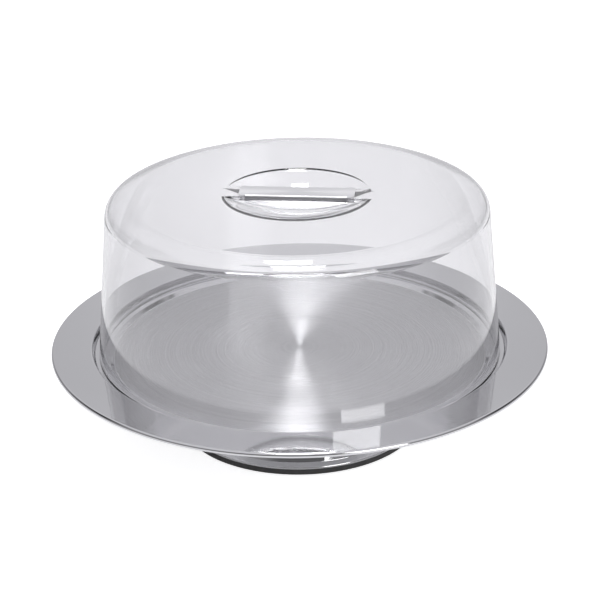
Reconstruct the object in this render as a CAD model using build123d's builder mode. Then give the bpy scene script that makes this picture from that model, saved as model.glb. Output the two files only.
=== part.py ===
"""Revolving cake plate with a clear dome cover.

A pressed steel plate turns on a thrust ball bearing over a low bell-shaped foot. A clear dome
stands on a ledge inside the plate's well and is lifted off by a steel-clad bridge sunk in its top.
Millimetres, +Z up, origin at the centre of the foot's resting plane.
"""

import os
from math import cos, radians, sin

from build123d import *

# --- overall ---------------------------------------------------------------------------------
plate_r = 185.0          # outer radius of the plate
rim_z = 68.3             # height of the flat rim above the table
foot_r = 90.0            # radius of the foot at the table
dome_h = 120.3           # dome, from its lower edge to its flat top

# --- plate -----------------------------------------------------------------------------------
sheet = 1.0              # steel sheet of the plate and the foot
well_r = 154.6           # mouth of the well
well_wall_r = 152.9      # well wall where it meets the ledge
ledge_depth = 5.5        # ledge that carries the dome, below the rim
ledge_inner_r = 142.0
floor_depth = 8.0        # cake floor, below the rim
floor_r = 139.0
lip_h = 3.0              # turned-down outer edge
plate_bends = [1.4, 1.4, 1.3, 1.5, 2.0]   # upper-side bend radii, from the centre out
ledge_z = rim_z - ledge_depth
floor_z = rim_z - floor_depth
floor_under_z = floor_z - sheet

# --- dome ------------------------------------------------------------------------------------
dome_wall = 3.0
dome_base_r = 149.8      # outer radius at the lower edge
shoulder_r = 127.2       # where the flat top and the sloping shoulder would meet
shoulder_tilt = 24.0     # degrees
shoulder_l = 13.35
shoulder_bend = 35.0     # outer rounding between top and shoulder
dome_corner_r = 10.0     # outer rounding between shoulder and wall
dome_trim = 1.0          # wall drawn past the ledge and cut level
dome_top_z = ledge_z + dome_h
corner_at_r = shoulder_r + shoulder_l * cos(radians(shoulder_tilt))
corner_at_z = dome_top_z - shoulder_l * sin(radians(shoulder_tilt))
wall_slope = (dome_base_r - corner_at_r) / (corner_at_z - ledge_z)

# --- grip: two finger wells either side of a bridge, and its steel cover ----------------------
bowl_r = 53.3            # radius of the sunk bowl at the dome's top
bowl_depth = 13.0
bridge_w = 21.4
cover_l, cover_w = 84.0, 20.4
cover_t = 1.0
cover_corner_r = 3.0
cover_edge_r = 0.6
cover_drop = 2.6         # how far the side flanges reach below the dome's top
flange_l = 73.5
rebate_gap = 0.1         # clearance behind a flange in its rebate
rebate_end_gap = 0.3     # clearance at a flange's ends and under it
bowl_sphere_r = (bowl_r**2 + bowl_depth**2) / (2 * bowl_depth)
bowl_centre_z = dome_top_z - bowl_depth + bowl_sphere_r

# --- foot ------------------------------------------------------------------------------------
ring_h = 4.2             # rubber ring under the foot
ring_w = 6.0
foot_top_z = 46.5
foot_top_r = 50.0
foot_top_bend = 4.0
neck_low = (52.4, 37.5)  # where the neck runs into the bell
bell_low = (81.2, 14.6)  # where the bell runs into the step
step_top = (85.3, 13.9)
step_low = (87.3, 8.7)
foot_edge_z = 5.6        # upper side of the flange at its outer edge
foot_bends = [1.6, 1.0, 1.3]
ring_chamfer = 0.6
stiffener_t = 2.0
stiffener_r = 44.0
bush_hole_r = 7.0

# --- bearing ---------------------------------------------------------------------------------
ball_r = 3.175
track_r = 36.0
ball_count = 18
groove_r = 3.25
track_half_w = 5.5
race_t = 1.5             # screw flanges of the races
cage_t = 1.2
cage_margin = 1.0        # cage edges, inside those of the races
cage_gap = 0.1           # around a ball in the cage
upper_race_top_z = 57.3
ball_z = (foot_top_z + upper_race_top_z) / 2
race_gap = 3.4           # between the two races, where the cage runs
lower_screw_r = 25.0     # pitch radius of the lower race's screws
upper_screw_r = 48.0
screw_r = 2.0
screw_hole_r = 2.1
screw_head_r = 3.6
screw_head_h = 2.4
screw_count = 4
head_round = 0.9
drive_w = 0.9            # cross recess in a screw's head
drive_l = 3.6
drive_depth = 1.2
tapped_wall = 0.4        # metal left above the tapped holes in the hub
thread_gap = 0.2         # between a screw's end and the bottom of its tapped hole
thread_end = 0.8         # screw thread standing out of its nut
lower_flange_r = 19.0
upper_flange_r = 52.5

# --- hub under the plate, and the pivot bolt -----------------------------------------------------
hub_r = 56.0
hub_t = floor_under_z - upper_race_top_z
hub_skirt_t = 1.5
hub_skirt_z = 48.3
hub_edge_r = 1.0
boss_r = 9.0
boss_z = 48.0
bolt_r = 4.0
bolt_chamfer = 0.8
running_gap = 0.05
bore_r = bolt_r + running_gap
bolt_top_z = 55.5
bore_end = 1.0           # bore above the bolt's end
bush_flange_r = 11.0
bush_flange_t = 1.5
bush_proud = 0.3         # bush above the foot's top
slide_washer_r = 9.5
slide_washer_t = 1.0
spring_washer_r = 7.0
spring_washer_t = 1.2
spring_slot_w = 0.8
spring_slot_turn = 20.0  # degrees
bolt_head_af = 13.0
bolt_head_h = 5.3
stiffener_z = foot_top_z - sheet - stiffener_t
bush_z = stiffener_z - bush_flange_t
slide_washer_z = bush_z - running_gap - slide_washer_t
spring_washer_z = slide_washer_z - spring_washer_t
bolt_head_z = spring_washer_z - bolt_head_h
nut_h = 3.2
nut_af = 7.0

os.makedirs("parts", exist_ok=True)


def save(part, name):
    """Label a finished piece and write it as its own STEP file."""
    part.label = name
    export_step(part, f"parts/{name}.step")


# --- cake plate ------------------------------------------------------------------------------
# One sheet, drawn as its upper surface from the centre out to the turned-down lip.
plate_line = [
    (0, floor_z),
    (floor_r, floor_z),
    (ledge_inner_r, ledge_z),
    (well_wall_r, ledge_z),
    (well_r, rim_z),
    (plate_r, rim_z),
    (plate_r, rim_z - lip_h),
]
with BuildPart() as cake_plate:
    with BuildSketch(Plane.XZ) as plate_section:
        with BuildLine() as plate_top:
            FilletPolyline(*plate_line, radius=plate_bends)
            offset(amount=sheet, side=Side.RIGHT)
        make_face()
    revolve(axis=Axis.Z)
save(cake_plate.part, "cake_plate")

# --- plate hub: skirted disc welded under the well, with the threaded boss ------------------------
with BuildPart() as plate_hub:
    with BuildSketch(Plane.XZ) as hub_section:
        with BuildLine():
            Polyline(
                (0, floor_under_z),
                (hub_r, floor_under_z),
                (hub_r, hub_skirt_z),
                (hub_r - hub_skirt_t, hub_skirt_z),
                (hub_r - hub_skirt_t, upper_race_top_z),
                (boss_r, upper_race_top_z),
                (boss_r, boss_z),
                (0, boss_z),
                close=True,
            )
        make_face()
    revolve(axis=Axis.Z)
    fillet(plate_hub.edges().group_by(Axis.Z)[-1], radius=hub_edge_r)
    with BuildSketch(Plane.XY.offset(boss_z)) as hub_bore:
        Circle(bore_r)
    extrude(amount=bolt_top_z + bore_end - boss_z, mode=Mode.SUBTRACT)
    with BuildSketch(Plane.XY.offset(upper_race_top_z)) as hub_tapped:
        with PolarLocations(upper_screw_r, screw_count):
            Circle(screw_hole_r)
    extrude(amount=hub_t - tapped_wall, mode=Mode.SUBTRACT)
save(plate_hub.part, "plate_hub")

# --- thrust bearing: grooved rings with screw flanges, cage and balls -------------------------
track_in = track_r - track_half_w
track_out = track_r + track_half_w
lower_face_z = ball_z - race_gap / 2
upper_face_z = ball_z + race_gap / 2

with BuildPart() as lower_race:
    with BuildSketch(Plane.XZ) as lower_section:
        with BuildLine():
            Polyline(
                (lower_flange_r, foot_top_z),
                (track_out, foot_top_z),
                (track_out, lower_face_z),
                (track_in, lower_face_z),
                (track_in, foot_top_z + race_t),
                (lower_flange_r, foot_top_z + race_t),
                close=True,
            )
        make_face()
        with Locations((track_r, ball_z)):
            Circle(groove_r, mode=Mode.SUBTRACT)
    revolve(axis=Axis.Z)
    with BuildSketch(Plane.XY.offset(foot_top_z)) as lower_holes:
        with PolarLocations(lower_screw_r, screw_count):
            Circle(screw_hole_r)
    extrude(amount=race_t, mode=Mode.SUBTRACT)
save(lower_race.part, "lower_race")

with BuildPart() as upper_race:
    with BuildSketch(Plane.XZ) as upper_section:
        with BuildLine():
            Polyline(
                (track_in, upper_race_top_z),
                (upper_flange_r, upper_race_top_z),
                (upper_flange_r, upper_race_top_z - race_t),
                (track_out, upper_race_top_z - race_t),
                (track_out, upper_face_z),
                (track_in, upper_face_z),
                close=True,
            )
        make_face()
        with Locations((track_r, ball_z)):
            Circle(groove_r, mode=Mode.SUBTRACT)
    revolve(axis=Axis.Z)
    with BuildSketch(Plane.XY.offset(upper_race_top_z - race_t)) as upper_holes:
        with PolarLocations(upper_screw_r, screw_count):
            Circle(screw_hole_r)
    extrude(amount=race_t, mode=Mode.SUBTRACT)
save(upper_race.part, "upper_race")

with BuildPart() as ball_cage:
    with BuildSketch(Plane.XY.offset(ball_z - cage_t / 2)) as cage_section:
        Circle(track_out - cage_margin)
        Circle(track_in + cage_margin, mode=Mode.SUBTRACT)
        with PolarLocations(track_r, ball_count):
            Circle(ball_r + cage_gap, mode=Mode.SUBTRACT)
    extrude(amount=cage_t)
save(ball_cage.part, "ball_cage")

with BuildPart() as bearing_balls:
    with Locations((0, 0, ball_z)):
        with PolarLocations(track_r, ball_count):
            Sphere(ball_r)
save(bearing_balls.part, "bearing_balls")

# --- screws of the races, nuts under the foot -------------------------------------------------
with BuildPart() as upper_race_screws:
    head_z = upper_race_top_z - race_t - screw_head_h
    with BuildSketch(Plane.XY.offset(head_z)) as upper_heads:
        with PolarLocations(upper_screw_r, screw_count):
            Circle(screw_head_r)
    extrude(amount=screw_head_h)
    fillet(upper_race_screws.edges().group_by(Axis.Z)[0], radius=head_round)
    with BuildSketch(Plane.XY.offset(head_z + screw_head_h)) as upper_shanks:
        with PolarLocations(upper_screw_r, screw_count):
            Circle(screw_r)
    extrude(amount=race_t + hub_t - tapped_wall - thread_gap)
    with BuildSketch(Plane.XY.offset(head_z)) as upper_drives:
        with PolarLocations(upper_screw_r, screw_count):
            Rectangle(drive_w, drive_l)
            Rectangle(drive_l, drive_w)
    extrude(amount=drive_depth, mode=Mode.SUBTRACT)
save(upper_race_screws.part, "upper_race_screws")

with BuildPart() as lower_race_screws:
    head_z = foot_top_z + race_t
    with BuildSketch(Plane.XY.offset(head_z)) as lower_heads:
        with PolarLocations(lower_screw_r, screw_count):
            Circle(screw_head_r)
    extrude(amount=screw_head_h)
    fillet(lower_race_screws.edges().group_by(Axis.Z)[-1], radius=head_round)
    thread_z = stiffener_z - nut_h - thread_end
    with BuildSketch(Plane.XY.offset(thread_z)) as lower_shanks:
        with PolarLocations(lower_screw_r, screw_count):
            Circle(screw_r)
    extrude(amount=head_z - thread_z)
    with BuildSketch(Plane.XY.offset(head_z + screw_head_h - drive_depth)) as lower_drives:
        with PolarLocations(lower_screw_r, screw_count):
            Rectangle(drive_w, drive_l)
            Rectangle(drive_l, drive_w)
    extrude(amount=drive_depth, mode=Mode.SUBTRACT)
save(lower_race_screws.part, "lower_race_screws")

with BuildPart() as lower_race_nuts:
    with BuildSketch(Plane.XY.offset(stiffener_z - nut_h)) as nut_outlines:
        with PolarLocations(lower_screw_r, screw_count):
            RegularPolygon(nut_af / 2, 6, major_radius=False)
            Circle(screw_r + running_gap, mode=Mode.SUBTRACT)
    extrude(amount=nut_h)
save(lower_race_nuts.part, "lower_race_nuts")

# --- foot ------------------------------------------------------------------------------------
# One pressed sheet, drawn as its outer surface from the bush hole down to the rubber ring:
# flat top, short neck, hollow bell, a step, and a sloping flange with a turned-down edge.
with BuildPart() as foot_shell:
    with BuildSketch(Plane.XZ) as foot_section:
        with BuildLine() as foot_line:
            neck = FilletPolyline(
                (bush_hole_r, foot_top_z),
                (foot_top_r, foot_top_z),
                neck_low,
                radius=foot_top_bend,
            )
            bell = TangentArc(neck @ 1, bell_low, tangent=neck % 1)
            FilletPolyline(
                bell @ 1,
                step_top,
                step_low,
                (foot_r, foot_edge_z),
                (foot_r, ring_h),
                radius=foot_bends,
            )
            offset(amount=sheet, side=Side.RIGHT)
        make_face()
    revolve(axis=Axis.Z)
    with BuildSketch(Plane.XY.offset(foot_top_z - sheet)) as foot_holes:
        with PolarLocations(lower_screw_r, screw_count):
            Circle(screw_hole_r)
    extrude(amount=sheet, mode=Mode.SUBTRACT)
save(foot_shell.part, "foot_shell")

with BuildPart() as foot_stiffener:
    with BuildSketch(Plane.XY.offset(stiffener_z)) as stiffener_outline:
        Circle(stiffener_r)
        Circle(bush_hole_r, mode=Mode.SUBTRACT)
        with PolarLocations(lower_screw_r, screw_count):
            Circle(screw_hole_r, mode=Mode.SUBTRACT)
    extrude(amount=stiffener_t)
save(foot_stiffener.part, "foot_stiffener")

with BuildPart() as foot_ring:
    with BuildSketch(Plane.XZ) as ring_section:
        with BuildLine():
            Polyline(
                (foot_r - ring_w, 0),
                (foot_r - ring_chamfer, 0),
                (foot_r, ring_chamfer),
                (foot_r, ring_h),
                (foot_r - ring_w, ring_h),
                close=True,
            )
        make_face()
    revolve(axis=Axis.Z)
save(foot_ring.part, "foot_ring")

# --- pivot: bush, sliding washer, spring washer and bolt -------------------------------------
with BuildPart() as pivot_bush:
    with BuildSketch(Plane.XY.offset(bush_z)) as bush_flange:
        Circle(bush_flange_r)
    extrude(amount=bush_flange_t)
    with BuildSketch(Plane.XY.offset(stiffener_z)) as bush_barrel:
        Circle(bush_hole_r - running_gap)
    extrude(amount=sheet + stiffener_t + bush_proud)
    with BuildSketch(Plane.XY.offset(bush_z)) as bush_bore:
        Circle(bore_r)
    extrude(amount=foot_top_z + bush_proud - bush_z, mode=Mode.SUBTRACT)
save(pivot_bush.part, "pivot_bush")

with BuildPart() as slide_washer:
    with BuildSketch(Plane.XY.offset(slide_washer_z)) as slide_outline:
        Circle(slide_washer_r)
        Circle(bore_r, mode=Mode.SUBTRACT)
    extrude(amount=slide_washer_t)
save(slide_washer.part, "slide_washer")

with BuildPart() as spring_washer:
    with BuildSketch(Plane.XY.offset(spring_washer_z)) as spring_outline:
        Circle(spring_washer_r)
        Circle(bore_r, mode=Mode.SUBTRACT)
        with Locations(((bore_r + spring_washer_r) / 2, 0)):
            Rectangle(bolt_r + 1.0, spring_slot_w, rotation=spring_slot_turn, mode=Mode.SUBTRACT)
    extrude(amount=spring_washer_t)
save(spring_washer.part, "spring_washer")

with BuildPart() as pivot_bolt:
    with BuildSketch(Plane.XY.offset(bolt_head_z)) as bolt_head:
        RegularPolygon(bolt_head_af / 2, 6, major_radius=False)
    extrude(amount=bolt_head_h)
    with BuildSketch(Plane.XY.offset(spring_washer_z)) as bolt_shank:
        Circle(bolt_r)
    extrude(amount=bolt_top_z - spring_washer_z)
    chamfer(pivot_bolt.edges().group_by(Axis.Z)[-1], length=bolt_chamfer)
save(pivot_bolt.part, "pivot_bolt")

# --- dome ------------------------------------------------------------------------------------
# The wells' floor is a bowl cut by the bridge. The same bowl, one wall thicker, keeps the
# wells' underside solid, and stops short of the bridge, which is hollow underneath.
span = 2.5 * bowl_r      # wide enough to hold the bowl and its underside
well_y = span / 2 + bridge_w / 2
under_y = well_y - dome_wall

with BuildPart() as finger_wells:
    with Locations((0, 0, bowl_centre_z)):
        Sphere(bowl_sphere_r)
    with Locations((0, well_y, dome_top_z), (0, -well_y, dome_top_z)):
        Box(span, span, 3 * bowl_depth, mode=Mode.INTERSECT)

with BuildPart() as well_undersides:
    with Locations((0, 0, bowl_centre_z)):
        Sphere(bowl_sphere_r + dome_wall)
    with Locations((0, under_y, dome_top_z - span / 2), (0, -under_y, dome_top_z - span / 2)):
        Box(span, span, span, mode=Mode.INTERSECT)

with BuildPart() as dome:
    with BuildSketch(Plane.XZ) as dome_section:
        with BuildLine() as dome_outside:
            FilletPolyline(
                (0, dome_top_z),
                (shoulder_r, dome_top_z),
                (corner_at_r, corner_at_z),
                (dome_base_r + wall_slope * dome_trim, ledge_z - dome_trim),
                radius=[shoulder_bend, dome_corner_r],
            )
            offset(amount=dome_wall, side=Side.RIGHT)
        make_face()
    revolve(axis=Axis.Z)
    split(bisect_by=Plane.XY.offset(ledge_z), keep=Keep.TOP)
    add(well_undersides.part)
    add(finger_wells.part, mode=Mode.SUBTRACT)
    rebate_depth = bridge_w / 2 - cover_w / 2 + cover_t + rebate_gap
    rebate_y = bridge_w / 2 - rebate_depth / 2
    rebate_h = cover_drop + rebate_end_gap
    with BuildSketch(Plane.XY.offset(dome_top_z - rebate_h)) as rebates:
        with Locations((0, rebate_y), (0, -rebate_y)):
            Rectangle(flange_l + 2 * rebate_end_gap, rebate_depth)
    extrude(amount=rebate_h, mode=Mode.SUBTRACT)
save(dome.part, "dome")

# --- grip cover: folded steel strip on the bridge -------------------------------------------------
with BuildPart() as grip_cover:
    with BuildSketch(Plane.XY.offset(dome_top_z)) as cover_outline:
        RectangleRounded(cover_l, cover_w, cover_corner_r)
    extrude(amount=cover_t)
    flange_y = cover_w / 2 - cover_t / 2
    with BuildSketch(Plane.XY.offset(dome_top_z - cover_drop)) as flanges:
        with Locations((0, flange_y), (0, -flange_y)):
            Rectangle(flange_l, cover_t)
    extrude(amount=cover_drop)
    fillet(grip_cover.edges().group_by(Axis.Z)[-1], radius=cover_edge_r)
save(grip_cover.part, "grip_cover")
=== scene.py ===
"""Looks of the covered revolving cake plate: polished pressed steel under a clear plastic dome.

The turned pieces are lathed from smooth outlines, the dome's sunk grip is a relief welded into
its lathed shell, and the grip cover is a folded sheet. Everything is in metres, in the row frame.
"""

from math import atan2, ceil, cos, hypot, pi, radians, sin, sqrt, tan

import bmesh
import bpy
from mathutils import Matrix, Vector, geometry


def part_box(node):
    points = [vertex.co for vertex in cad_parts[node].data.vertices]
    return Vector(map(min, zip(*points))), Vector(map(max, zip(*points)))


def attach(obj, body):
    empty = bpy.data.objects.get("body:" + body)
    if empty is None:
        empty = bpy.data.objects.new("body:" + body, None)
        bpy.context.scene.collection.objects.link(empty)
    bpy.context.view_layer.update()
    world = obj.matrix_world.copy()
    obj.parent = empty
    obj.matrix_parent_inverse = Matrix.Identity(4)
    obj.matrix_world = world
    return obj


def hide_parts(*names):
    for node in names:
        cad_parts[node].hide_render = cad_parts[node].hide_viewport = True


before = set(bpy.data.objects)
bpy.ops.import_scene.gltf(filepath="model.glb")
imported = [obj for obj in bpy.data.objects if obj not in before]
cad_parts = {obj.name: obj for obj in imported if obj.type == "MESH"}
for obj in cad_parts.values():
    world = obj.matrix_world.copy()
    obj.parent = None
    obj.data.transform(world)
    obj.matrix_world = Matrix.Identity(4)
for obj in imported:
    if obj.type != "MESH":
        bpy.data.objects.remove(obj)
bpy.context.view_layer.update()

MM = 0.001
TURNS = 288              # segments of a lathed piece

# --- sizes, in millimetres, from the frame where it holds them ----------------------------------
plate_low, plate_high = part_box("cake_plate")
dome_low, dome_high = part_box("dome")
cover_low, cover_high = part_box("grip_cover")
ring_low, ring_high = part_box("foot_ring")
foot_low, foot_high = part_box("foot_shell")

skin_gap = 0.005         # how far the plate and the cover stay inside their CAD boxes
plate_r = min(plate_high.x, plate_high.y, -plate_low.x, -plate_low.y) / MM - skin_gap
rim_z = plate_high.z / MM
ledge_z = dome_low.z / MM
dome_top_z = dome_high.z / MM
dome_base_r = dome_high.x / MM
foot_r = ring_high.x / MM
foot_top_z = foot_high.z / MM
ring_top_z = ring_high.z / MM

sheet = 1.0
floor_z = plate_low.z / MM + sheet
floor_r = 139.0
ledge_inner_r = 142.0
well_wall_r = 152.9
well_r = 154.6
lip_h = 3.0
plate_bends = [1.4, 1.4, 1.3, 1.5, 2.0]     # floor's edge, ledge's inner edge, wall's foot, rim, lip

foot_bore_r = 7.0
foot_lip_z = 5.6         # where the flange turns down
foot_corners = [(50.0, foot_top_z), (58.3, 15.36), (81.2, 14.6), (85.3, 13.9), (87.3, 8.7)]
foot_bends = [4.0, 30.5, 2.5, 1.6, 1.0, 1.3]
ring_w = 6.0

dome_wall = 3.0
shoulder_r = 127.2       # where the flat top and the sloping shoulder would meet
shoulder_tilt = radians(24)
shoulder_l = 13.35
shoulder_bend = 35.0
dome_corner_r = 10.0
corner_drop = shoulder_l * sin(shoulder_tilt)
corner_r = shoulder_r + shoulder_l * cos(shoulder_tilt)
dome_taper = atan2(dome_base_r - corner_r, dome_top_z - corner_drop - ledge_z)

bowl_r = 53.3
bowl_depth = 13.0
bridge_w = 21.4
rebate_w = 2 * 9.1       # between the bottoms of the two rebates
rebate_l = 74.1
rebate_depth = 2.9
rebate_slope = 40        # rise over run of the rebate's nearly upright wall
bowl_sphere_r = (bowl_r**2 + bowl_depth**2) / (2 * bowl_depth)
inner_bowl_r = 54.6      # the wall thins a little towards the bowl's edge
inner_sphere_r = (inner_bowl_r**2 + bowl_depth**2) / (2 * bowl_depth)

cover_l = 2 * cover_high.x / MM
cover_w = 2 * cover_high.y / MM
cover_t = cover_high.z / MM - dome_top_z
flange_l = 73.5


# --- outlines and lathed meshes ----------------------------------------------------------------
def rounded(points, radii, step=radians(9)):
    """Round the inner corners of a line. Gives (r, z, normal r, normal z), normal to its left."""
    outline = []
    last = len(points) - 1
    for i, point in enumerate(points):
        here = Vector(point)
        before = (here - Vector(points[i - 1])).normalized() if i > 0 else None
        after = (Vector(points[i + 1]) - here).normalized() if i < last else None
        if before is None or after is None:
            way = after or before
            outline.append((here.x, here.y, -way.y, way.x))
            continue
        turn = before.angle_signed(after)          # positive clockwise
        radius = radii[i - 1]
        reach = radius * tan(abs(turn) / 2)
        start = here - before * reach
        side = Vector((-before.y, before.x)) * (-1 if turn > 0 else 1)
        centre = start + side * radius
        count = max(2, ceil(abs(turn) / step))
        for k in range(count + 1):
            spin = Matrix.Rotation(-turn * k / count, 2)
            place = centre + spin @ (start - centre)
            normal = spin @ Vector((-before.y, before.x))
            outline.append((place.x, place.y, normal.x, normal.y))
    return outline


def sheet_outline(top, thickness):
    """Close a sheet's upper outline with a rounded edge and its underside."""
    r, z, nr, nz = top[-1]
    centre = (r - nr * thickness / 2, z - nz * thickness / 2)
    way = (nz, -nr)
    edge = []
    for k in range(1, 8):
        a = pi * k / 8
        normal = (nr * cos(a) + way[0] * sin(a), nz * cos(a) + way[1] * sin(a))
        edge.append((centre[0] + normal[0] * thickness / 2, centre[1] + normal[1] * thickness / 2, *normal))
    under = [(r - nr * thickness, z - nz * thickness, -nr, -nz) for r, z, nr, nz in reversed(top)]
    return top + edge + under


def mesh_object(name, verts, faces, normals=None):
    """A smooth mesh in metres from places in millimetres, with its exact normals where given."""
    mesh = bpy.data.meshes.new(name)
    mesh.from_pydata([Vector(v) * MM for v in verts], [], faces)
    mesh.update()
    mesh.shade_smooth()
    if normals:
        mesh.normals_split_custom_set_from_vertices(normals)
    piece = bpy.data.objects.new(name, mesh)
    bpy.context.scene.collection.objects.link(piece)
    return piece


def spun(outline, turns=TURNS):
    """Vertices, normals and faces of an outline turned about Z, and each point's ring of indices."""
    verts, normals, rings, faces = [], [], [], []
    for r, z, nr, nz in outline:
        first = len(verts)
        if r < 1e-6:
            verts.append((0.0, 0.0, z))
            normals.append((0.0, 0.0, 1.0 if nz > 0 else -1.0))
            rings.append([first] * turns)
            continue
        for k in range(turns):
            a = 2 * pi * k / turns
            verts.append((r * cos(a), r * sin(a), z))
            normals.append((nr * cos(a), nr * sin(a), nz))
        rings.append(list(range(first, first + turns)))
    for low, high in zip(rings, rings[1:]):
        for k in range(turns):
            n = (k + 1) % turns
            corners = []
            for index in (low[k], high[k], high[n], low[n]):
                if index not in corners:
                    corners.append(index)
            if len(corners) > 2:
                faces.append(corners)
    return verts, normals, faces, rings


def lathe(name, outline, closed=False, turns=TURNS):
    """A piece turned about Z from its outline."""
    if closed:
        outline = outline + outline[:1]
    verts, normals, faces, _ = spun(outline, turns)
    piece = mesh_object(name, verts, faces, normals)
    if closed:
        weld(piece)
    return piece


def weld(piece):
    """Join the first and last ring of a closed outline."""
    work = bmesh.new()
    work.from_mesh(piece.data)
    bmesh.ops.remove_doubles(work, verts=work.verts, dist=1e-7)
    work.to_mesh(piece.data)
    work.free()


# --- the dome ----------------------------------------------------------------------------------
def ramp(value, width):
    """max(value, 0) with its corner rounded over plus and minus width."""
    if value > width:
        return value
    if value < -width:
        return 0.0
    return (value + width) ** 2 / (4 * width)


def relief_depth(x, y, bridge_half, sphere_r, centre_h, soft):
    """How far the bowl is sunk at (x, y), with a steep bridge wall at |y| = bridge_half."""
    edge_r, foot_fillet_r, draft = 0.8, 1.6, 0.35
    bowl = ramp(sqrt(sphere_r**2 - x**2 - y**2) - centre_h, soft)
    past = abs(y) - bridge_half
    top_fillet = min(edge_r, bowl / 2)
    low_fillet = min(foot_fillet_r, bowl / 2)
    if bowl < 1e-4 or past <= -top_fillet:
        return 0.0
    if past < 0:
        return top_fillet - sqrt(max(0.0, top_fillet**2 - (past + top_fillet) ** 2))
    if past < draft:
        return top_fillet + (bowl - low_fillet - top_fillet) * past / draft
    if past < draft + low_fillet:
        return bowl - low_fillet + sqrt(max(0.0, low_fillet**2 - (draft + low_fillet - past) ** 2))
    return bowl


def outer_depth(x, y):
    """Depth of the dome's upper face below its flat top."""
    depth = relief_depth(x, y, bridge_w / 2, bowl_sphere_r, bowl_sphere_r - bowl_depth, 0.15)
    if abs(x) < rebate_l / 2 and rebate_w / 2 < abs(y) < bridge_w / 2 + 0.5:
        depth = max(depth, min(rebate_depth, (abs(y) - rebate_w / 2) * rebate_slope))
    return depth


def inner_depth(x, y):
    """Depth of the dome's inner face below the flat top's underside."""
    centre_h = inner_sphere_r - bowl_depth
    return relief_depth(x, y, bridge_w / 2 - dome_wall, inner_sphere_r, centre_h, 0.3)


def relief(ring, depth, edge_r, bridge_half, base_z, up, rebate):
    """Fill a ring of vertices with the sunk bowl. Gives vertices, normals and faces."""
    points = [Vector(v[:2]) for v in ring]
    count = len(points)
    edges = [(k, (k + 1) % count) for k in range(count)]
    ring_r = points[0].length

    def curve(places):
        first = len(points)
        points.extend(Vector(p) for p in places)
        edges.extend((first + k, first + k + 1) for k in range(len(places) - 1))

    edge_rows = (1.2, 0.8, 0.45, 0.15, -0.15, -0.45, -0.8, -1.2, -2.4)     # beyond the bowl's edge
    wall_rows = (-0.9, -0.8, -0.55, -0.3, -0.1, -0.02, 0.0, 0.35, 0.37, 0.5, 0.75, 1.1, 1.5, 1.95)
    for side in (1, -1):
        for grow in edge_rows:
            r = edge_r + grow
            start = atan2(bridge_half + 2.2, r)
            steps = 110
            places = []
            for k in range(steps + 1):
                a = start + (pi - 2 * start) * k / steps
                places.append((r * cos(a), side * r * sin(a)))
            curve(places)
        for past in wall_rows:
            y = bridge_half + past
            reach = sqrt((edge_r + edge_rows[0]) ** 2 - y**2)
            steps = 100
            curve([(reach * (2 * k / steps - 1), side * y) for k in range(steps + 1)])
        if rebate:
            near, far, half = rebate_w / 2, bridge_half + 0.02, rebate_l / 2
            curve([(-half, side * far), (-half, side * near), (half, side * near), (half, side * far)])
            near += rebate_depth / rebate_slope
            curve([(-half + 0.03, side * far), (-half + 0.03, side * near)])
            curve([(-half + 0.03, side * near), (half - 0.03, side * near), (half - 0.03, side * far)])
    pitch = 2.2
    rows = int(2 * ring_r / pitch)
    for i in range(-rows, rows + 1):
        for j in range(-rows, rows + 1):
            x, y = i * pitch + (j % 2) * pitch / 2, j * pitch * 0.87
            if hypot(x, y) < edge_r - 3.5 and abs(y) > bridge_half + 3.0:
                points.append(Vector((x, y)))
            elif edge_r + 2.0 < hypot(x, y) < ring_r - 1.0:
                points.append(Vector((x, y)))
    flat, _, faces, origins, _, _ = geometry.delaunay_2d_cdt(points, edges, [], 0, 1e-5)
    verts, normals = [], []
    gap = 0.01
    for x, y in flat:
        verts.append((x, y, base_z - depth(x, y)))
        slope_x = (depth(x + gap, y) - depth(x - gap, y)) / (2 * gap)
        slope_y = (depth(x, y + gap) - depth(x, y - gap)) / (2 * gap)
        normals.append(tuple(Vector((slope_x, slope_y, 1.0)).normalized() * up))
    if up < 0:
        faces = [face[::-1] for face in faces]
    ring_of = {}
    for index, sources in enumerate(origins):
        for source in sources:
            if source < count:
                ring_of[index] = source
    return verts, normals, faces, ring_of


def build_dome():
    """Lathed shell with the sunk bowl welded into its flat top, above and below."""
    relief_r = bowl_r + 7.0
    inner_base_r = dome_base_r - dome_wall / cos(dome_taper)
    inner_top_z = dome_top_z - dome_wall
    shoulder = Vector((shoulder_r, dome_top_z))
    corner = Vector((corner_r, dome_top_z - corner_drop))
    inward = Vector((-sin(shoulder_tilt), -cos(shoulder_tilt)))
    inward_wall = Vector((-cos(dome_taper), -sin(dome_taper)))
    inner_shoulder = (shoulder_r - dome_wall * tan(shoulder_tilt / 2), inner_top_z)
    inner_corner = corner + (inward + inward_wall) * dome_wall / (1 + inward.dot(inward_wall))
    outline = rounded(
        [
            (relief_r, dome_top_z),
            shoulder,
            corner,
            (dome_base_r, ledge_z),
            (inner_base_r, ledge_z),
            inner_corner,
            inner_shoulder,
            (relief_r, inner_top_z),
        ],
        [shoulder_bend, dome_corner_r, 0.7, 0.7, dome_corner_r - dome_wall, shoulder_bend - dome_wall],
        step=radians(4),
    )
    verts, normals, faces, rings = spun(outline)
    sides = (
        (rings[0], outer_depth, bowl_r, bridge_w / 2, dome_top_z, 1, True),
        (rings[-1], inner_depth, inner_bowl_r, bridge_w / 2 - dome_wall, inner_top_z, -1, False),
    )
    for ring, depth, edge_r, bridge_half, base_z, up, rebate in sides:
        patch = relief([verts[i] for i in ring], depth, edge_r, bridge_half, base_z, up, rebate)
        patch_verts, patch_normals, patch_faces, ring_of = patch
        index = []
        for k, vert in enumerate(patch_verts):
            if k in ring_of:
                index.append(ring[ring_of[k]])
                continue
            index.append(len(verts))
            verts.append(vert)
            normals.append(patch_normals[k])
        faces.extend([index[k] for k in face] for face in patch_faces)
    return mesh_object("dome_shell", verts, faces, normals)


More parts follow.
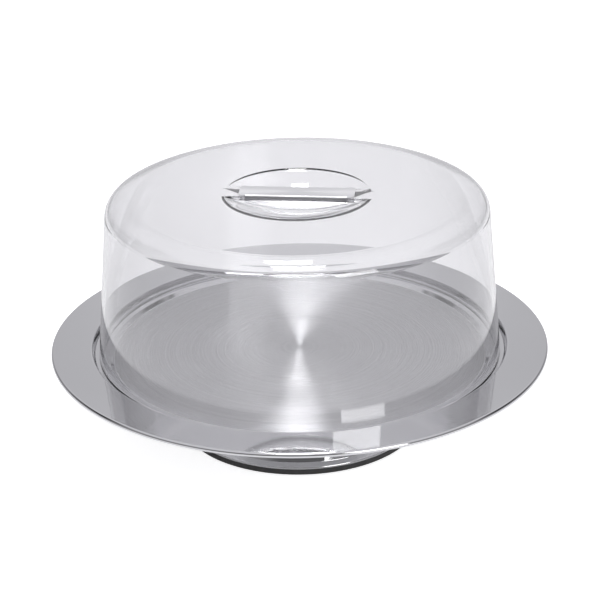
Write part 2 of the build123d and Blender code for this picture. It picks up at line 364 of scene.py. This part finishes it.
# --- the grip cover -----------------------------------------------------------------------------
def build_cover():
    """Flat strip with rounded ends, its long sides folded down over the bridge."""
    bend_r = 1.3
    end_r = 3.0
    half_l, half_w, half_flange = cover_l / 2, cover_w / 2, flange_l / 2
    fold_v = half_w - bend_r
    arc = bend_r * pi / 2
    drop = cover_t + (dome_top_z - cover_low.z / MM) - bend_r
    relief_gap = 0.35
    corner = [(half_l - end_r + end_r * sin(a), half_w - end_r + end_r * cos(a))
              for a in (radians(15 * k) for k in range(7))]
    quarter = [(half_flange, fold_v + arc + drop), (half_flange, fold_v + 0.05),
               (half_flange + relief_gap, fold_v + 0.05), (half_flange + relief_gap, half_w)] + corner
    right = quarter + [(x, -v) for x, v in reversed(quarter)]
    outline = right + [(-x, -v) for x, v in right]
    points = [Vector(p) for p in outline]
    count = len(points)
    border = list(range(count))
    edges = []
    for side in (1, -1):
        for k in range(9):
            v = side * (fold_v + arc * k / 8)
            reach = half_flange - 0.001
            first = len(points)
            points.extend([Vector((-reach, v)), Vector((reach, v))])
            edges.append((first, first + 1))
    flat, _, faces, _, _, _ = geometry.delaunay_2d_cdt(points, edges, [border], 1, 1e-5)
    verts = []
    for x, v in flat:
        past = abs(v) - fold_v
        side = 1 if v > 0 else -1
        top = dome_top_z + cover_t - skin_gap
        if past <= 0 or abs(x) > half_flange + 0.01:
            verts.append((x, v, top))
        elif past < arc:
            a = past / bend_r
            verts.append((x, side * (fold_v + bend_r * sin(a)), top - bend_r * (1 - cos(a))))
        else:
            verts.append((x, side * half_w, top - bend_r - (past - arc)))
    piece = mesh_object("grip_cover_sheet", verts, faces)
    work = bmesh.new()
    work.from_mesh(piece.data)
    bmesh.ops.recalc_face_normals(work, faces=work.faces)
    if sum(f.normal.z * f.calc_area() for f in work.faces) < 0:
        bmesh.ops.reverse_faces(work, faces=work.faces)
    work.to_mesh(piece.data)
    work.free()
    thick = piece.modifiers.new("thickness", "SOLIDIFY")
    thick.thickness = cover_t * MM * 0.98
    thick.offset = -1.0
    thick.use_even_offset = True
    soft = piece.modifiers.new("edges", "BEVEL")
    soft.width = 0.16 * MM
    soft.segments = 2
    soft.limit_method = "ANGLE"
    soft.angle_limit = radians(50)
    soft.harden_normals = True
    return piece


# --- plate, foot and ring ------------------------------------------------------------------------
def build_plate():
    """One pressed sheet: cake floor, dome ledge, well wall, broad rim and turned-down lip."""
    top = rounded(
        [
            (0, floor_z),
            (floor_r, floor_z),
            (ledge_inner_r, ledge_z),
            (well_wall_r, ledge_z),
            (well_r, rim_z),
            (plate_r, rim_z),
            (plate_r, rim_z - lip_h + sheet / 2),
        ],
        plate_bends,
        step=radians(6),
    )
    return lathe("plate_sheet", sheet_outline(top, sheet))


def build_foot():
    """One pressed sheet: flat top, neck, hollow bell, step and flange with a turned-down edge."""
    edge = [(foot_r, foot_lip_z), (foot_r, ring_top_z + sheet / 2)]
    top = rounded([(foot_bore_r, foot_top_z)] + foot_corners + edge, foot_bends, step=radians(4))
    return lathe("foot_sheet", sheet_outline(top, sheet), closed=True)


def build_ring():
    """Rubber ring under the foot: soft outer edge, shallow groove where it meets the table."""
    inner_r = foot_r - ring_w
    outline = rounded(
        [
            (foot_r - ring_w / 2, ring_top_z),
            (foot_r, ring_top_z),
            (foot_r, 0),
            (foot_r - 2.2, 0),
            (foot_r - 2.5, 0.5),
            (foot_r - 3.5, 0.5),
            (foot_r - 3.8, 0),
            (inner_r, 0),
            (inner_r, ring_top_z),
            (foot_r - ring_w / 2, ring_top_z),
        ],
        [0.5, 0.7, 0.15, 0.1, 0.1, 0.15, 0.6, 0.4],
    )
    return lathe("foot_ring_soft", outline)


# --- materials ------------------------------------------------------------------------------------
class Nodes:
    """Short hand for building one node material."""

    def __init__(self, name):
        self.material = bpy.data.materials.new(name)
        self.material.use_nodes = True
        self.tree = self.material.node_tree
        self.shader = self.tree.nodes["Principled BSDF"]

    def add(self, kind, **inputs):
        node = self.tree.nodes.new("ShaderNode" + kind)
        for key, value in inputs.items():
            self.feed(node, key.replace("_", " "), value)
        return node

    def feed(self, node, socket, value):
        target = node.inputs[int(socket)] if socket.isdigit() else node.inputs[socket]
        if isinstance(value, bpy.types.NodeSocket):
            self.tree.links.new(value, target)
        else:
            target.default_value = value

    def set(self, **inputs):
        for key, value in inputs.items():
            self.feed(self.shader, key.replace("_", " "), value)

    def place(self):
        return self.add("TexCoord").outputs["Object"]

    def math(self, operation, a, b=0.0):
        node = self.add("Math")
        node.operation = operation
        self.feed(node, "0", a)
        self.feed(node, "1", b)
        return node.outputs[0]

    def radius(self):
        """Distance from the turning axis, in metres."""
        parts = self.add("SeparateXYZ", Vector=self.place())
        flat = self.add("CombineXYZ", X=parts.outputs["X"], Y=parts.outputs["Y"])
        length = self.add("VectorMath")
        length.operation = "LENGTH"
        self.feed(length, "0", flat.outputs[0])
        return length.outputs["Value"]

    def noise(self, scale, detail=3.0, vector=None, along=None):
        node = self.add("TexNoise", Scale=scale, Detail=detail)
        if along is not None:
            node.noise_dimensions = "1D"
            self.feed(node, "W", along)
        else:
            self.feed(node, "Vector", vector or self.place())
        return node.outputs[0]

    def stretched(self, scale):
        """Object coordinates scaled per axis."""
        node = self.add("Mapping", Vector=self.place(), Scale=scale)
        return node.outputs[0]

    def spread(self, value, low, high):
        """Map a 0 to 1 value to low to high."""
        node = self.add("MapRange", Value=value)
        self.feed(node, "To Min", low)
        self.feed(node, "To Max", high)
        return node.outputs[0]

    def bump(self, height, distance, strength=1.0, normal=None):
        node = self.add("Bump", Height=height, Distance=distance, Strength=strength)
        if normal is not None:
            self.feed(node, "Normal", normal)
        return node.outputs[0]

    def tint(self, value, low, high):
        """Mix two colours by a 0 to 1 value."""
        node = self.add("Mix")
        node.data_type = "RGBA"
        self.feed(node, "0", value)
        self.feed(node, "6", low)
        self.feed(node, "7", high)
        return node.outputs[2]


def polished_steel():
    """Mirror-polished sheet with the faint circular haze that buffing leaves."""
    m = Nodes("polished_steel")
    haze = m.noise(9.0, 4.0)
    rings = m.noise(900.0, 2.0, along=m.radius())
    m.set(Metallic=1.0, Base_Color=m.tint(haze, (0.66, 0.66, 0.675, 1), (0.70, 0.70, 0.713, 1)))
    m.set(Roughness=m.spread(haze, 0.035, 0.06))
    m.set(Normal=m.bump(rings, 0.0000012))
    return m.material


def brushed_floor():
    """Steel turned on a lathe with an abrasive: fine circular grooves, so a radial sheen."""
    m = Nodes("circular_brushed_steel")
    r = m.radius()
    fine = m.noise(5200.0, 4.0, along=r)
    broad = m.noise(420.0, 3.0, along=r)
    narrow = m.noise(1300.0, 2.0, along=r)
    lines = m.math("ADD", m.math("MULTIPLY", narrow, 0.6), m.math("MULTIPLY", broad, 0.4))
    m.set(Metallic=1.0, Base_Color=m.tint(lines, (0.47, 0.47, 0.48, 1), (0.75, 0.75, 0.76, 1)))
    m.set(Roughness=m.spread(fine, 0.24, 0.32))
    m.set(Anisotropic=1.0, Anisotropic_Rotation=0.25)
    tangent = m.add("Tangent")
    tangent.direction_type = "RADIAL"
    tangent.axis = "Z"
    m.set(Tangent=tangent.outputs[0])
    grooves = m.bump(fine, 0.000006)
    m.set(Normal=m.bump(lines, 0.00001, normal=grooves))
    return m.material


def shaded_underside_steel():
    """The plate's underside, left as it came from the press: duller, with faint draw marks, and darker as
    painted shade.
    """
    m = Nodes("shaded_underside_steel")
    draw = m.noise(1.0, 4.0, vector=m.stretched((500.0, 500.0, 40.0)))
    cloud = m.noise(22.0, 4.0)
    # colour darker than the polished steel: painted shade under the plate
    m.set(Metallic=1.0, Base_Color=m.tint(cloud, (0.56, 0.56, 0.57, 1), (0.64, 0.64, 0.65, 1)))
    m.set(Roughness=m.spread(draw, 0.14, 0.24))
    m.set(Normal=m.bump(draw, 0.000008))
    return m.material


def painted_shade_satin():
    """The cover's folded sides: the same satin strip, its colour darkened as painted shade."""
    m = Nodes("painted_shade_satin_steel")
    lines = m.noise(1.0, 4.0, vector=m.stretched((60.0, 5200.0, 5200.0)))
    # satin colour made much darker than the top's: painted shade on the folded sides
    m.set(Metallic=1.0, Base_Color=m.tint(lines, (0.24, 0.24, 0.25, 1), (0.36, 0.36, 0.37, 1)))
    m.set(Roughness=m.spread(lines, 0.22, 0.34), Anisotropic=0.5)
    m.set(Normal=m.bump(lines, 0.000008))
    return m.material


def satin_steel():
    """Satin strip brushed along its length."""
    m = Nodes("satin_steel")
    lines = m.noise(1.0, 4.0, vector=m.stretched((60.0, 5200.0, 5200.0)))
    wear = m.noise(60.0, 3.0)
    m.set(Metallic=1.0, Base_Color=m.tint(lines, (0.76, 0.76, 0.775, 1), (0.84, 0.84, 0.85, 1)))
    m.set(Roughness=m.spread(wear, 0.27, 0.36), Anisotropic=0.5)
    m.set(Normal=m.bump(lines, 0.000008))
    return m.material


def zinc_steel(name="zinc_steel", color=(0.56, 0.57, 0.585), rough=0.32):
    """Plain machined steel with a thin zinc coat."""
    m = Nodes(name)
    cloud = m.noise(140.0, 4.0)
    dark = tuple(c * 0.88 for c in color) + (1,)
    m.set(Metallic=1.0, Base_Color=m.tint(cloud, dark, (*color, 1)))
    m.set(Roughness=m.spread(cloud, rough - 0.06, rough + 0.08))
    m.set(Normal=m.bump(m.noise(1500.0, 2.0), 0.00001))
    return m.material


def clear_plastic():
    """Clear styrene plastic: a faint cool tint, gloss with a barely uneven moulded surface."""
    m = Nodes("clear_plastic")
    haze = m.noise(35.0, 3.0)
    m.set(Base_Color=(0.972, 0.97, 0.977, 1), Roughness=m.spread(haze, 0.0, 0.012))
    m.set(IOR=1.57, Transmission_Weight=1.0)
    body = m.add("VolumeAbsorption", Color=(0.88, 0.885, 0.89, 1), Density=45.0)
    m.tree.links.new(body.outputs[0], m.tree.nodes["Material Output"].inputs["Volume"])
    m.set(Normal=m.bump(m.noise(14.0, 1.0), 0.00004))
    return m.material


def black_rubber():
    """Matte moulded rubber with a fine grain and pale dust in it."""
    m = Nodes("black_rubber")
    grain = m.noise(2600.0, 3.0)
    dust = m.noise(90.0, 4.0)
    m.set(Base_Color=m.tint(dust, (0.04, 0.04, 0.041, 1), (0.068, 0.067, 0.066, 1)))
    m.set(Roughness=m.spread(dust, 0.42, 0.58))
    m.set(Normal=m.bump(grain, 0.00003))
    return m.material


def white_nylon():
    """Natural nylon, a little translucent and slightly mottled."""
    m = Nodes("white_nylon")
    cloud = m.noise(300.0, 3.0)
    m.set(Base_Color=m.tint(cloud, (0.78, 0.77, 0.71, 1), (0.86, 0.85, 0.80, 1)))
    m.set(Roughness=m.spread(cloud, 0.38, 0.5), Subsurface_Weight=0.1)
    m.set(Normal=m.bump(cloud, 0.00002))
    return m.material


def dress(piece, *materials):
    """Give a piece its materials, first one everywhere."""
    piece.data.materials.clear()
    for material in materials:
        piece.data.materials.append(material)


# --- pieces -------------------------------------------------------------------------------------
steel = polished_steel()
floor_steel = brushed_floor()
zinc = zinc_steel()
balls_steel = zinc_steel("ball_steel", (0.72, 0.72, 0.74), 0.14)
brass = zinc_steel("cage_brass", (0.78, 0.58, 0.27), 0.3)

plate = build_plate()
dress(plate, steel, floor_steel, shaded_underside_steel())
for face in plate.data.polygons:
    centre = face.center
    r = hypot(centre.x, centre.y) / MM
    if centre.z > (floor_z - sheet / 2) * MM and r < floor_r - 0.7:
        face.material_index = 1
    # downward faces get the darker underside steel, painted shade under the plate
    elif face.normal.z < 0.1 and r < plate_r - 2.0:
        face.material_index = 2
shell = build_dome()
dress(shell, clear_plastic())
cover = build_cover()
dress(cover, satin_steel(), painted_shade_satin())
# the folded sides get the darker satin copy: painted shade
for face in cover.data.polygons:
    if abs(face.center.y) > cover_w / 2 * MM * 0.999:
        face.material_index = 1
foot = build_foot()
dress(foot, steel)
ring = build_ring()
dress(ring, black_rubber())

for piece, node, body, slot in (
    (plate, "cake_plate", "plate", "polished_steel"),
    (shell, "dome", "dome", "clear_plastic"),
    (cover, "grip_cover", "dome", "satin_steel"),
    (foot, "foot_shell", "foot", "polished_steel"),
    (ring, "foot_ring", "foot", "black_rubber"),
):
    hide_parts(node)
    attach(piece, body)

cad_looks = {"bearing_balls": balls_steel, "ball_cage": brass, "pivot_bush": white_nylon()}
for name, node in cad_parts.items():
    if name not in ("cake_plate", "dome", "grip_cover", "foot_shell", "foot_ring"):
        node.data.materials.clear()
        node.data.materials.append(cad_looks.get(name, zinc))


# --- stage, light and camera ---------------------------------------------------------------------
view_turn = radians(5.8)


def build_stage():
    """A wide pale floor. Seen directly it is nearly white, as in a cut-out studio picture."""
    bpy.ops.mesh.primitive_plane_add(size=14.0, location=(0, 0, -0.0002))
    floor = bpy.context.object
    floor.name = "stage_floor"
    m = Nodes("pale_floor")
    m.set(Base_Color=(0.9, 0.9, 0.91, 1), Roughness=0.9, Specular_IOR_Level=0.0)
    m.set(Emission_Color=(1, 1, 1, 1))
    seen = m.add("LightPath").outputs["Is Camera Ray"]
    m.set(Emission_Strength=m.math("ADD", m.math("MULTIPLY", seen, 0.6), 0.15))
    dress(floor, m.material)


def build_world():
    """A pale wall behind, a bright ceiling, dim sides and front, and a dark flag on each side."""
    world = bpy.data.worlds.new("studio")
    bpy.context.scene.world = world
    world.use_nodes = True
    tree = world.node_tree
    nodes, links = tree.nodes, tree.links
    turned = nodes.new("ShaderNodeVectorRotate")
    turned.rotation_type = "Z_AXIS"
    turned.inputs["Angle"].default_value = -view_turn
    links.new(nodes.new("ShaderNodeTexCoord").outputs["Generated"], turned.inputs["Vector"])
    parts = nodes.new("ShaderNodeSeparateXYZ")
    links.new(turned.outputs[0], parts.inputs[0])

    def math(operation, a, b=0.0):
        node = nodes.new("ShaderNodeMath")
        node.operation = operation
        for socket, value in zip(node.inputs, (a, b)):
            if isinstance(value, bpy.types.NodeSocket):
                links.new(value, socket)
            else:
                socket.default_value = value
        return node.outputs[0]

    def step(value, start, end):
        node = nodes.new("ShaderNodeMapRange")
        node.interpolation_type = "SMOOTHSTEP"
        links.new(value, node.inputs["Value"])
        node.inputs["From Min"].default_value = start
        node.inputs["From Max"].default_value = end
        return node.outputs[0]

    def mix(value, start, end):
        """start where value is 0, end where it is 1."""
        node = nodes.new("ShaderNodeMapRange")
        links.new(value, node.inputs["Value"])
        for key, side in (("To Min", start), ("To Max", end)):
            if isinstance(side, bpy.types.NodeSocket):
                links.new(side, node.inputs[key])
            else:
                node.inputs[key].default_value = side
        return node.outputs[0]

    across = math("ABSOLUTE", parts.outputs["X"])
    up = parts.outputs["Z"]
    behind = step(parts.outputs["Y"], -0.1, 0.3)
    back = mix(step(up, 0.43, 0.52), 0.6, 0.74)
    glow = math("MULTIPLY", step(across, 0.15, 0.02), step(up, 0.47, 0.37))
    back = math("ADD", back, math("MULTIPLY", glow, 0.2))
    wall = mix(behind, mix(step(up, 0.28, 0.5), 0.13, 0.25), back)
    wall = mix(step(across, 0.3, 0.7), wall, 0.3)
    level = mix(step(up, 0.5, 0.9), wall, 0.8)
    slant = math("DIVIDE", parts.outputs["Y"], math("MAXIMUM", across, 0.001))
    flag = math("MULTIPLY", step(slant, 0.1, 0.2), step(slant, 0.95, 0.8))
    flag = math("MULTIPLY", flag, math("MULTIPLY", step(up, 0.36, 0.44), step(up, 0.76, 0.68)))
    level = mix(flag, level, 0.02)
    tone = nodes.new("ShaderNodeVectorMath")
    tone.operation = "SCALE"
    tone.inputs[0].default_value = (1.0, 0.994, 1.03)
    links.new(level, tone.inputs["Scale"])
    links.new(tone.outputs[0], nodes["Background"].inputs["Color"])


def soft_box(name, place, target, width, depth, radiance):
    """A rectangular softbox aimed at a point, placed from the camera's side, radiance in whites."""
    place = Matrix.Rotation(view_turn, 3, "Z") @ Vector(place)
    data = bpy.data.lights.new(name, "AREA")
    data.shape = "RECTANGLE"
    data.size = width
    data.size_y = depth
    data.energy = radiance * width * depth * pi
    lamp = bpy.data.objects.new(name, data)
    lamp.location = place
    lamp.rotation_euler = (Vector(target) - place).to_track_quat("-Z", "Y").to_euler()
    lamp.visible_camera = False
    bpy.context.scene.collection.objects.link(lamp)


def build_lights():
    """A box overhead for the floor's sheen, a small one high behind and a key box front right."""
    soft_box("sheen_box", (0.0, 0.28, 1.75), (0, 0, 0.08), 0.34, 0.5, 16.0)
    soft_box("streak_box", (-0.06, 1.6, 2.36), (0, 0, 0.08), 0.3, 0.32, 12.0)
    soft_box("key_box", (0.86, -1.36, 0.78), (0, -0.16, 0.06), 0.72, 0.85, 4.5)


def build_camera():
    """A long lens about 1.4 m away, 25 degrees up, turned a little to the right of the bridge."""
    distance, lift, turn = 1.3712, radians(24.795), view_turn
    roll = radians(-0.95)
    aim = Vector((0.0, 0.0, rim_z * MM))
    away = Vector((cos(lift) * sin(turn), -cos(lift) * cos(turn), sin(lift)))
    place = aim + away * distance
    sideways = Vector((cos(turn), sin(turn), 0.0))
    target = aim + sideways * 0.00084 + Vector((0.0, 0.0, 0.0298))
    forward = (target - place).normalized()
    right = forward.cross(Vector((0, 0, 1))).normalized()
    up = right.cross(forward)
    rolled_right = right * cos(roll) + up * sin(roll)
    rolled_up = -right * sin(roll) + up * cos(roll)
    data = bpy.data.cameras.new("photo_camera")
    data.sensor_width = 36.0
    data.lens = 109.7
    data.clip_end = 50.0
    camera = bpy.data.objects.new("photo_camera", data)
    turn_to = Matrix((rolled_right, rolled_up, -forward)).transposed()
    camera.matrix_world = Matrix.Translation(place) @ turn_to.to_4x4()
    bpy.context.scene.collection.objects.link(camera)
    bpy.context.scene.camera = camera


build_stage()
build_world()
build_lights()
build_camera()
bpy.context.scene.view_settings.view_transform = "Standard"

bpy.context.view_layer.update()
